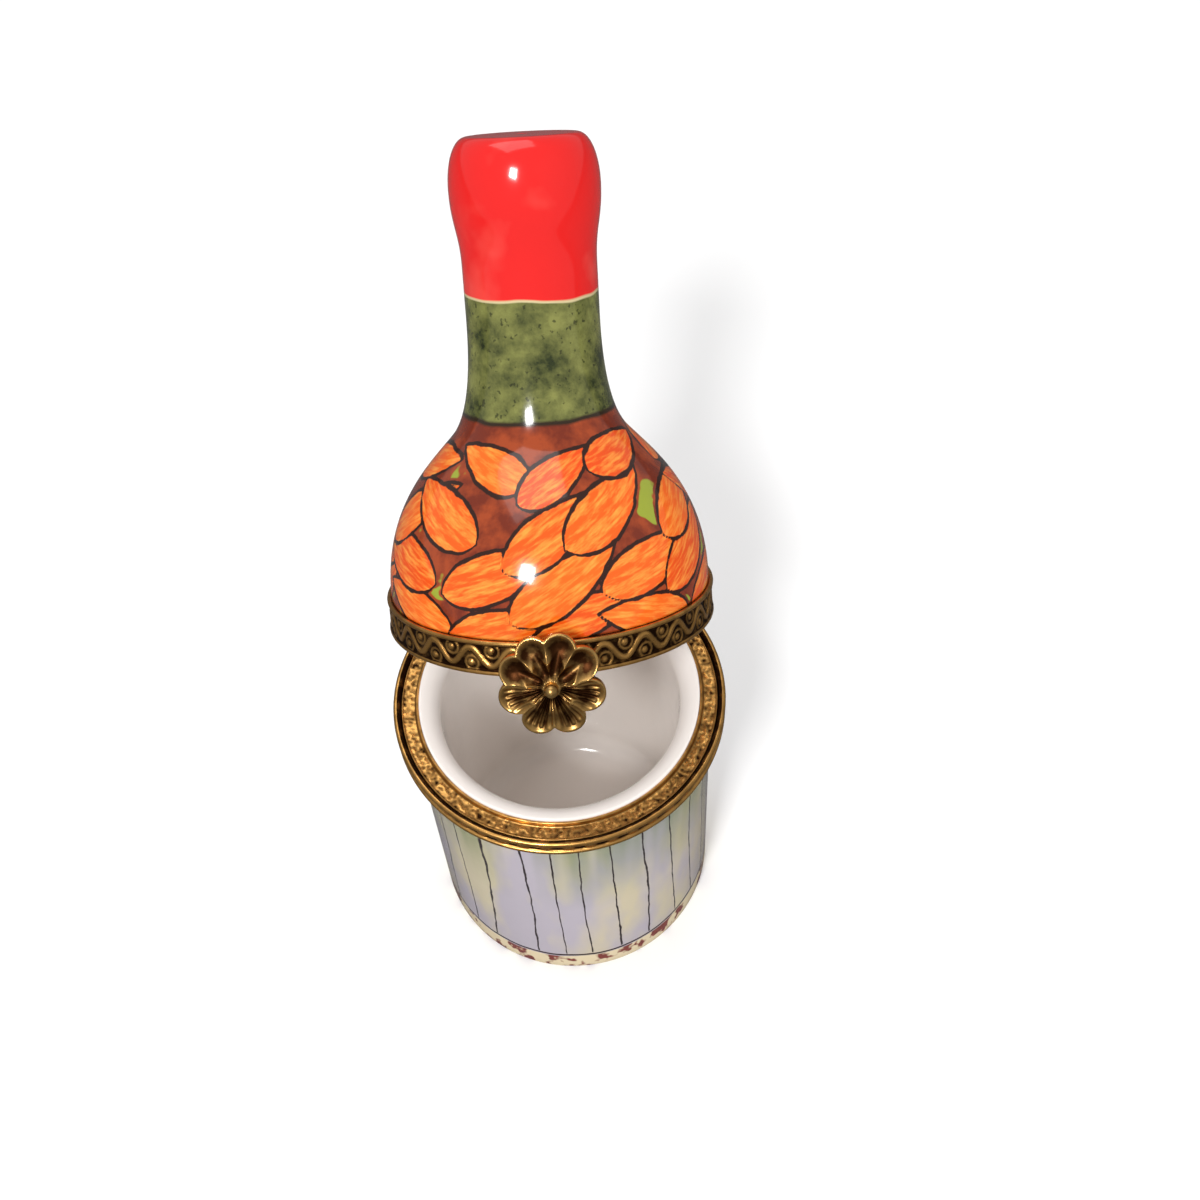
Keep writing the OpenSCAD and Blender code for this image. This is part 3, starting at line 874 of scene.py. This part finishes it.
@dataclass
class Flower:
    """The cast clasp flower: eight scooped petals with raised rims, ribbed in its lower half.

    It is drawn flat, its back at height 0, and then stood up on the tongue.
    """

    metal: bpy.types.Material
    turns: tuple[float, ...] = (36, 76, 116, 154, 197, 248, 293, 343)
    reach: float = 5.78
    petal: float = 3.7          # width
    hub_r: float = 2.0          # how far the flower reaches between two petals
    thick: float = 1.8
    scoop: float = 1.05         # depth of a petal's bowl
    rib_count: int = 44
    rib_share: float = 0.28     # of the depth
    boss_r: float = 1.0         # flat that the rivet sits on
    boss_drop: float = 0.3
    middle_x: float = 0.45
    back_y: float = 21.35       # front of the tongue and a small gap
    cols: int = 288
    rows: int = 44

    @property
    def tip(self) -> float:
        """How far the middle of a petal's round end is from the flower's middle."""
        return self.reach - self.petal / 2

    def outline(self, angle: np.ndarray) -> np.ndarray:
        """How far the flower reaches in each direction."""
        edge = np.full(angle.shape, self.hub_r)
        for turn in self.turns:
            off = angle - math.radians(turn)
            root = (self.petal / 2) ** 2 - (self.tip * np.sin(off)) ** 2
            hit = (root > 0) & (np.cos(off) > 0)
            end = self.tip * np.cos(off) + np.sqrt(np.maximum(root, 0))
            edge = np.where(hit, np.maximum(edge, end), edge)
        return edge

    def depth(self, x: np.ndarray, y: np.ndarray, r: np.ndarray) -> np.ndarray:
        """How deep the petals' bowls and the grooves down to them are at each point."""
        near = np.full(r.shape, 9.0)
        for turn in self.turns:
            c, s = math.cos(math.radians(turn)), math.sin(math.radians(turn))
            along, across = x * c + y * s, -x * s + y * c
            bowl = np.hypot((along - self.tip) / (self.petal / 2), across / (self.petal / 2))
            past_end = np.maximum(0, np.abs(along - 2.6) - 1.1)
            groove = np.hypot(past_end / 0.9, across / 0.95)
            near = np.minimum(near, np.minimum(bowl, groove))
        ribs = 0.5 + 0.5 * np.cos(np.arctan2(y, x) * self.rib_count)
        ribbed = (y < 0.4) & (r < 5.0)
        depth = self.scoop * np.clip(1 - near ** 2, 0, 1)
        return depth * np.where(ribbed, 1 - self.rib_share * ribs, 1)

    def height(self, r: np.ndarray, share: np.ndarray, depth: np.ndarray) -> np.ndarray:
        """Height of the front, domed, scooped and rounded off at its edge."""
        top = self.thick - r ** 2 / 32 - depth
        top = np.where(r < self.boss_r, self.thick - self.boss_drop, top)
        top = np.maximum(top, 0.25)
        fade = np.clip((share - 0.94) / 0.06, 0, 1)
        return np.maximum(top - 0.25 * fade ** 2, 0.1)

    def faces(self) -> list[tuple[int, ...]]:
        """Faces of the front and the back, of the rim between them and of both middles."""
        cols, n = self.cols, self.rows * self.cols
        rim = n - cols
        faces = []
        for ring in range(0, rim, cols):
            far = ring + cols
            for j in range(cols):
                k = (j + 1) % cols
                faces.append((ring + j, far + j, far + k, ring + k))
                faces.append((n + ring + j, n + ring + k, n + far + k, n + far + j))
        for j in range(cols):
            k = (j + 1) % cols
            faces.append((rim + j, n + rim + j, n + rim + k, rim + k))
            faces.append((2 * n, j, k))
            faces.append((2 * n + 1, n + k, n + j))
        return faces

    def build(self) -> None:
        """Builds the flower and lets it stand for the CAD solid."""
        angle = np.arange(self.cols) * FULL_TURN / self.cols
        share = np.linspace(0.02, 1, self.rows)[:, None]
        r = share * self.outline(angle)[None, :]
        x, y = r * np.cos(angle), r * np.sin(angle)
        depth = self.depth(x, y, r)
        front = np.stack([x, y, self.height(r, share, depth)], -1).reshape(-1, 3)
        back = np.stack([x, y, np.zeros_like(x)], -1).reshape(-1, 3)
        middles = [[0, 0, self.thick - self.boss_drop], [0, 0, 0]]
        flat = np.concatenate([front, back, middles])
        out = self.back_y + flat[:, 2]
        shut = np.stack([flat[:, 0] + self.middle_x, -out, flat[:, 1] + BASE_H], 1)
        worn = np.clip(1 - depth / 0.8, 0, 1).ravel()
        ridge = np.concatenate([worn, np.full(len(back) + len(middles), 0.4)])
        obj = add_mesh("flower", opened(shut), self.faces(), {"ridge": ridge})
        place(obj, Body.LID, self.metal, "clasp_flower")


@dataclass
class Studio:
    """White floor, soft lamps and the photograph's camera."""

    azimuth: float = 0.957          # degrees
    elevation: float = 55.679
    roll: float = -3.579
    lens: float = 43.467
    sensor: float = 36.0
    place_mm: tuple[float, float, float] = (7.282, -91.368, 197.308)
    aim: tuple[float, float, float] = (0, 0, 0.05)      # of the lamps, in metres
    world_level: float = 0.60
    mirrored_world: float = 0.32    # level of the world in the glaze and the brass
    mirrored_floor: Colour = (0.10, 0.10, 0.10, 1)      # and colour of the floor in them

    def camera(self) -> None:
        """Sets the camera as the photograph was taken."""
        az, el, roll = (math.radians(v) for v in (self.azimuth, self.elevation, self.roll))
        level = math.cos(el)
        back = Vector((math.sin(az) * level, -math.cos(az) * level, math.sin(el)))
        x = Vector((0, 0, 1)).cross(back).normalized()
        y = back.cross(x)
        right = x * math.cos(roll) + y * math.sin(roll)
        up = -x * math.sin(roll) + y * math.cos(roll)
        data = bpy.data.cameras.new("camera")
        data.lens, data.sensor_width = self.lens, self.sensor
        data.clip_start, data.clip_end = 0.01, 20
        camera = bpy.data.objects.new("camera", data)
        turn = Matrix((right, up, back)).transposed().to_4x4()
        camera.matrix_world = Matrix.Translation(Vector(self.place_mm) * MM) @ turn
        bpy.context.scene.collection.objects.link(camera)
        bpy.context.scene.camera = camera

    def lamp(
        self, name: str, at: Sequence[float], size: float, watts: float, mirrored: bool = True
    ) -> None:
        """Adds one square soft lamp that faces the box.

        Args:
            name: Name of the lamp.
            at: Its place, in metres.
            size: Length of its sides, in metres.
            watts: Its power.
            mirrored: Whether the glaze and the brass mirror it.
        """
        data = bpy.data.lights.new(name, "AREA")
        data.shape, data.size, data.energy = "SQUARE", size, watts
        lamp = bpy.data.objects.new(name, data)
        lamp.location = at
        lamp.visible_glossy = mirrored
        to_box = Vector(self.aim) - Vector(at)
        lamp.rotation_euler = to_box.to_track_quat("-Z", "Y").to_euler()
        bpy.context.scene.collection.objects.link(lamp)

    def floor(self) -> None:
        """Adds the white floor, which is dark where it is mirrored."""
        mesh = bpy.data.meshes.new("floor")
        mesh.from_pydata([(-3, -3, 0), (3, -3, 0), (3, 3, 0), (-3, 3, 0)], [], [(0, 1, 2, 3)])
        floor = bpy.data.objects.new("floor", mesh)
        g = Graph("floor_paper")
        paper = g.mix(g.noise(3, 2), (0.93, 0.93, 0.93, 1), (0.96, 0.96, 0.96, 1))
        mirrored = g.tree.nodes.new("ShaderNodeLightPath").outputs["Is Glossy Ray"]
        colour = g.mix(mirrored, paper, self.mirrored_floor)
        g.link(colour, g.shader.inputs["Base Color"])
        g.shader.inputs["Roughness"].default_value = 0.9
        mesh.materials.append(g.material)
        bpy.context.scene.collection.objects.link(floor)

    def world(self) -> None:
        """Adds the even white surround, which is dimmer where it is mirrored."""
        world = bpy.data.worlds.new("studio")
        world.use_nodes = True
        tree = world.node_tree
        background = tree.nodes["Background"]
        background.inputs["Color"].default_value = (1, 1, 1, 1)
        path = tree.nodes.new("ShaderNodeLightPath")
        level = tree.nodes.new("ShaderNodeMapRange")
        level.inputs["To Min"].default_value = self.world_level
        level.inputs["To Max"].default_value = self.mirrored_world
        tree.links.new(path.outputs["Is Glossy Ray"], level.inputs["Value"])
        tree.links.new(level.outputs["Result"], background.inputs["Strength"])
        bpy.context.scene.world = world

    def build(self) -> None:
        """Adds floor, world, lamps and camera."""
        self.floor()
        self.world()
        self.lamp("key", (-0.16, -0.42, 0.62), 0.12, 3.0)
        self.lamp("fill", (0.5, -0.3, 0.5), 0.5, 1.0, mirrored=False)
        self.lamp("top", (-0.1, 0.25, 0.7), 0.5, 1.2)
        bpy.context.scene.view_settings.view_transform = "Standard"
        self.camera()


def finish_fittings(metal: bpy.types.Material) -> None:
    """Gives the pieces that are shown by their CAD solids their finish."""
    for node in (
        "base_hinge_leaf",
        "hinge_pin",
        "lid_seat_ring",
        "lid_hinge_leaf",
        "clasp_tongue",
        "flower_rivet",
    ):
        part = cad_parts[node]
        part.data.materials.clear()
        part.data.materials.append(metal)


def main() -> None:
    """Builds the scene."""
    logging.basicConfig(level=logging.INFO)
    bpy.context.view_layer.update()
    antique = Brass("antique_brass", Paint.ANTIQUE_DARK.rgba, Paint.ANTIQUE_LIGHT.rgba, 0.28, True)
    bright = Brass("bright_brass", Paint.BRIGHT_DARK.rgba, Paint.BRIGHT_LIGHT.rgba, 0.24, False)
    flower = Brass("flower_brass", Paint.FLOWER_DARK.rgba, Paint.FLOWER_LIGHT.rgba, 0.24, True)
    Cup().build()
    Lid().build()
    Rims(antique.build()).build()
    Flower(flower.build()).build()
    finish_fittings(bright.build())
    Studio().build()


if __name__ == "__main__":
    main()
